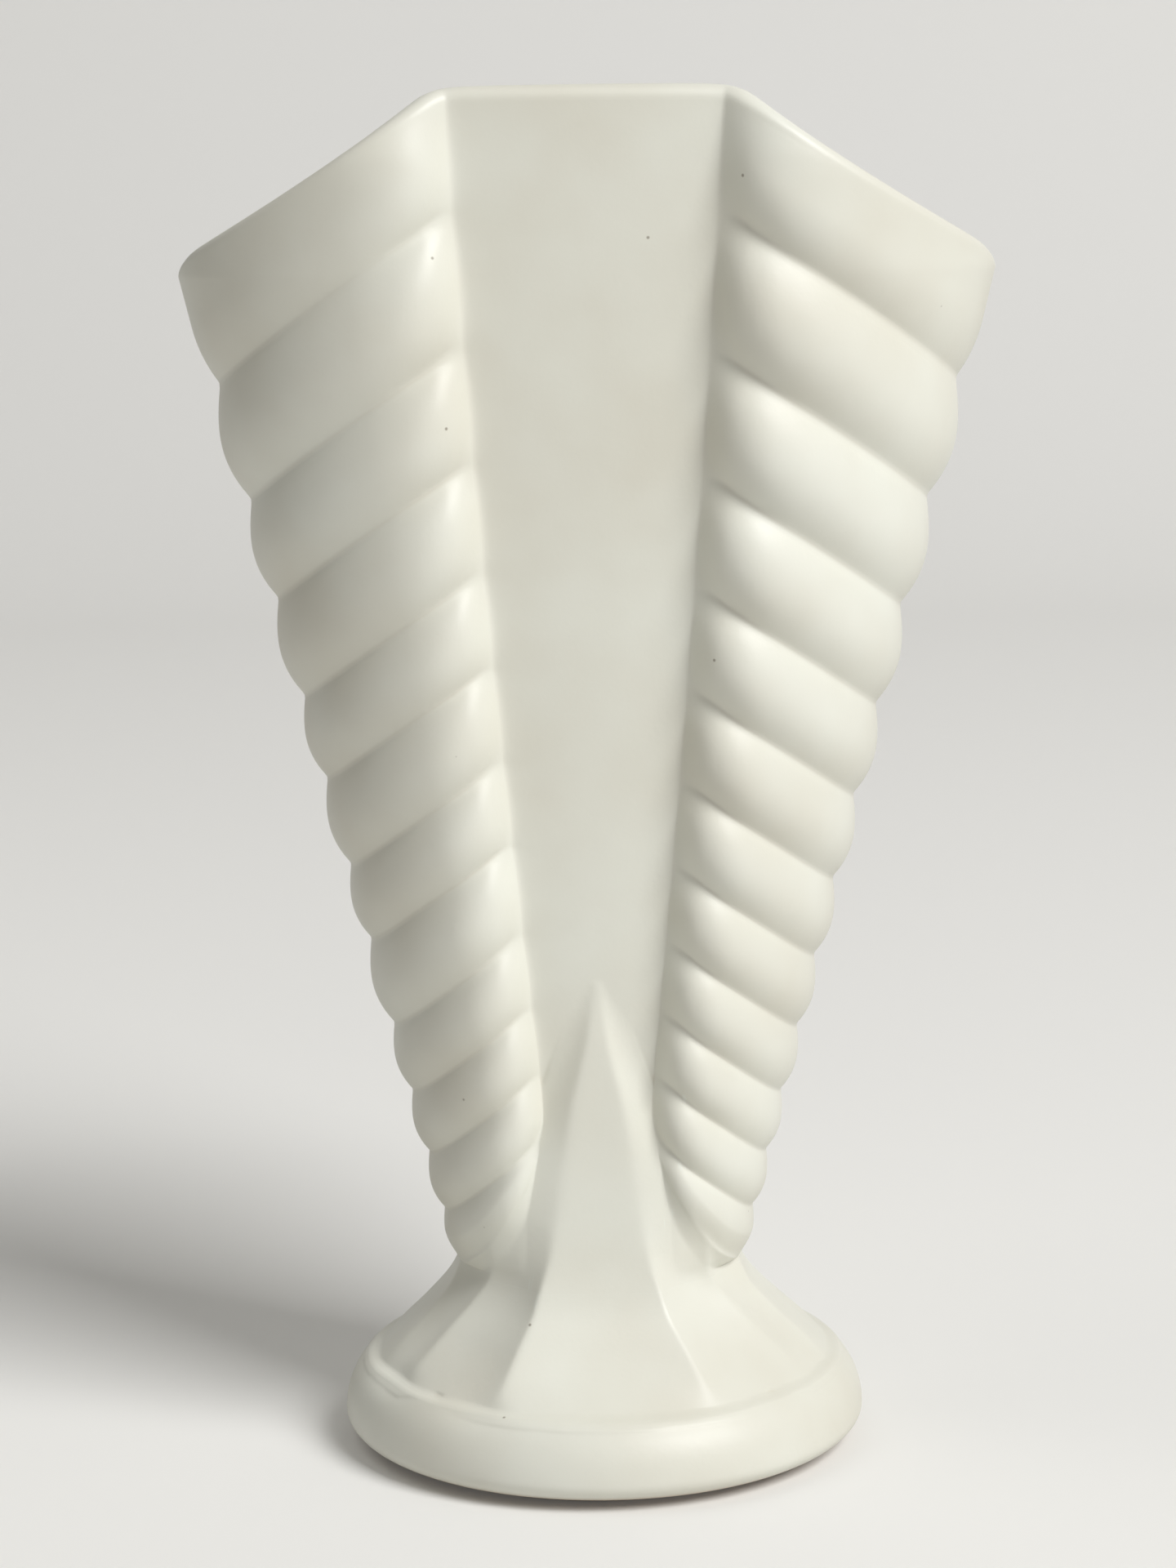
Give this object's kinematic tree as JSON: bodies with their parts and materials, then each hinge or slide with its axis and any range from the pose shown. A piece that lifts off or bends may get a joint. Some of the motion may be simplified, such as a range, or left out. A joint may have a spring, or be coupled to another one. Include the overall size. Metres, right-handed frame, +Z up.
{
  "type": "fan vase",
  "caption": "Fan-shaped matt white ceramic vase with fluted wings either side of a plain tapering panel, on a round faceted foot whose spires lap up the panels.",
  "frame": {"origin": "centre of the foot's underside, on the surface that the vase stands on", "axes": "+Z up the vase, +X across the fan to the viewer's right, +Y from the front panel to the back panel"},
  "size_m": [0.1484, 0.098, 0.25],
  "materials": {
    "matt_white_glaze": "matt",
    "fired_slip": "matt",
    "bare_clay": "matt"
  },
  "bodies": {
    "root": {"fan_bowl": "matt_white_glaze", "luting_slip": "fired_slip", "pedestal_foot": "matt_white_glaze", "foot_ring": "bare_clay"}
  },
  "joints": []
}
